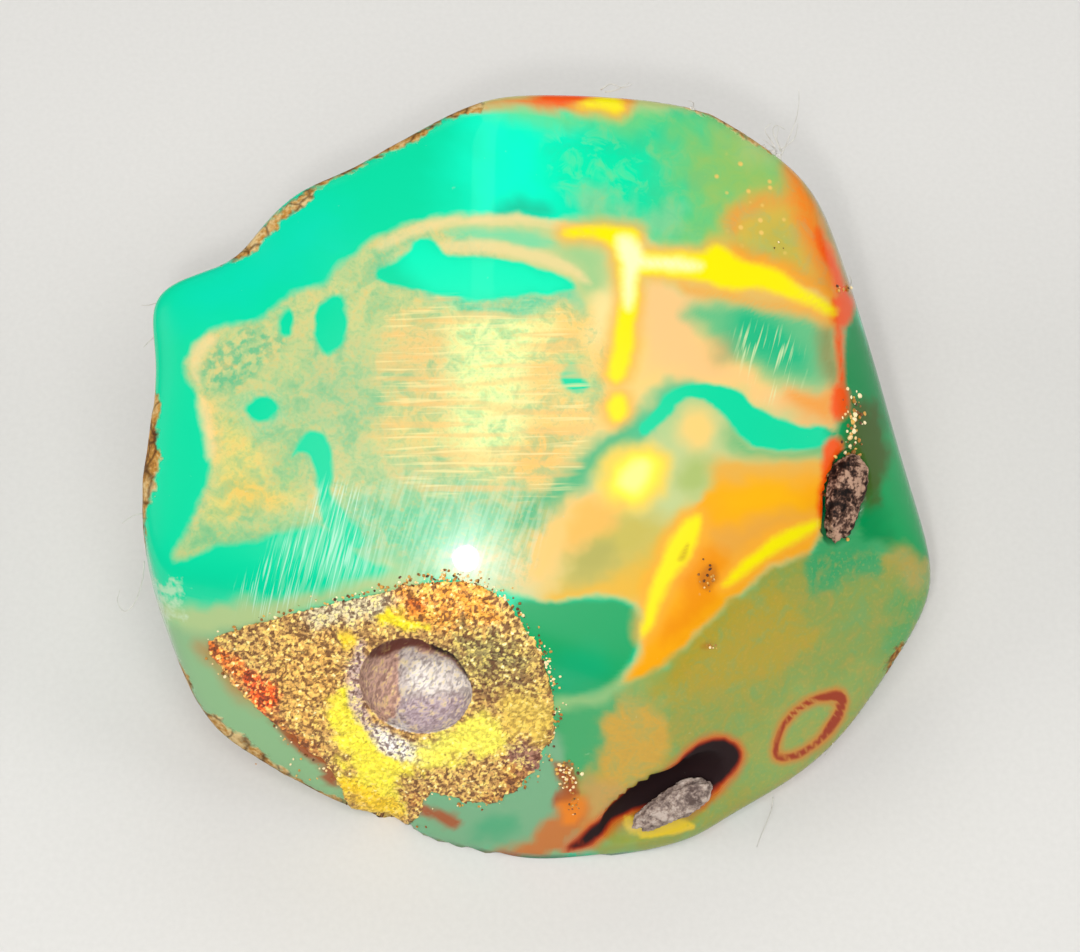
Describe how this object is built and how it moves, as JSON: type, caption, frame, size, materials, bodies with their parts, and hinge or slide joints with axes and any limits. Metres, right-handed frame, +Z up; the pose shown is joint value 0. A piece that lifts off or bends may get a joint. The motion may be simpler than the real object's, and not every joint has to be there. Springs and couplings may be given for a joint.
{
  "type": "polished amber lump",
  "caption": "Palm-sized freeform lump of polished natural amber with a grainy crust patch, a round pit and small chips of bark and stone at its edges.",
  "frame": {"origin": "centre of the bounding box on the flat underside that the lump rests on", "axes": "+X along the lump's longest side, +Y towards the high back face, +Z up from the surface it rests on"},
  "size_m": [0.0502, 0.0432, 0.0283],
  "materials": {
    "amber": "polished",
    "crust": "grainy",
    "bark_chip": "rough",
    "stone_chip": "rough"
  },
  "bodies": {
    "root": {"amber": "amber", "crust": "crust", "bark_chip": "bark_chip", "stone_chip": "stone_chip"}
  },
  "joints": []
}
